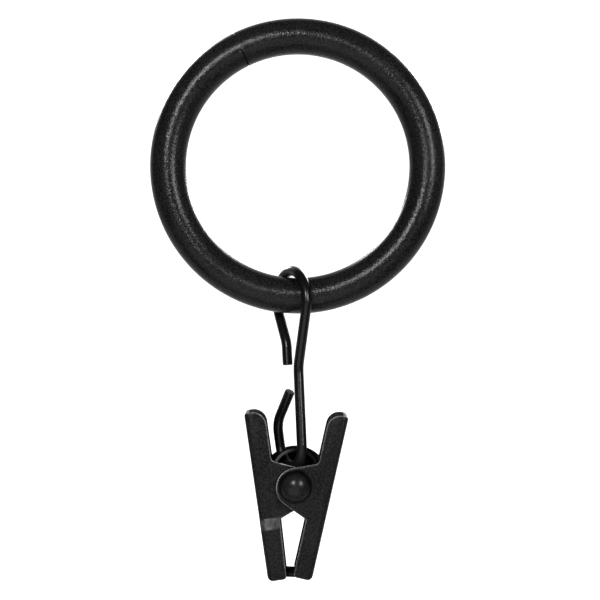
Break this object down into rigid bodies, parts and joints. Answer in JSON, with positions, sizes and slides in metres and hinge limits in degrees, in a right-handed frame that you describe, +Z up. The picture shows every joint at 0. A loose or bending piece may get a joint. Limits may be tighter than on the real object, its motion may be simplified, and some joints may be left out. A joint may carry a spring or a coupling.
{
  "type": "curtain ring with clip",
  "caption": "Black metal curtain ring with a wire hook and a sprung pinch clip: the ring slides along a rod and the clip grips the top edge of a curtain.",
  "frame": {"origin": "centre of the ring", "axes": "+Y along the ring's axis, away from the viewer; +Z up; the clip hangs towards -Z and the rivet's head faces -Y"},
  "size_m": [0.0502, 0.0126, 0.0948],
  "materials": {
    "ring_coat": "satin",
    "wire_coat": "semi-gloss",
    "sheet_coat": "satin",
    "rivet_coat": "gloss",
    "spring_coat": "semi-gloss"
  },
  "bodies": {
    "ring_body": {"ring": "ring_coat"},
    "hook_body": {"hook": "wire_coat"},
    "clip_body": {"left_jaw": "sheet_coat", "rivet": "rivet_coat", "spring": "spring_coat"},
    "right_jaw_body": {"right_jaw": "sheet_coat"}
  },
  "joints": [
    {"name": "hook_swing", "type": "hinge", "parent": "ring_body", "child": "hook_body", "pos_m": [-0.001, 0, -0.02203], "axis": [0.999, 0, -0.0454], "range_deg": [-150, 150]},
    {"name": "clip_swing", "type": "hinge", "parent": "hook_body", "child": "clip_body", "pos_m": [-0.00031, 0, -0.05185], "axis": [0, 1, 0], "range_deg": [-8, 6]},
    {"name": "jaw_open", "type": "hinge", "parent": "clip_body", "child": "right_jaw_body", "pos_m": [-0.00039, 0, -0.05388], "axis": [0, -1, 0], "range_deg": [0, 20], "stiffness_Nm_per_rad": 0.09, "springref_deg": -25.78, "deforming": ["spring"]}
  ]
}
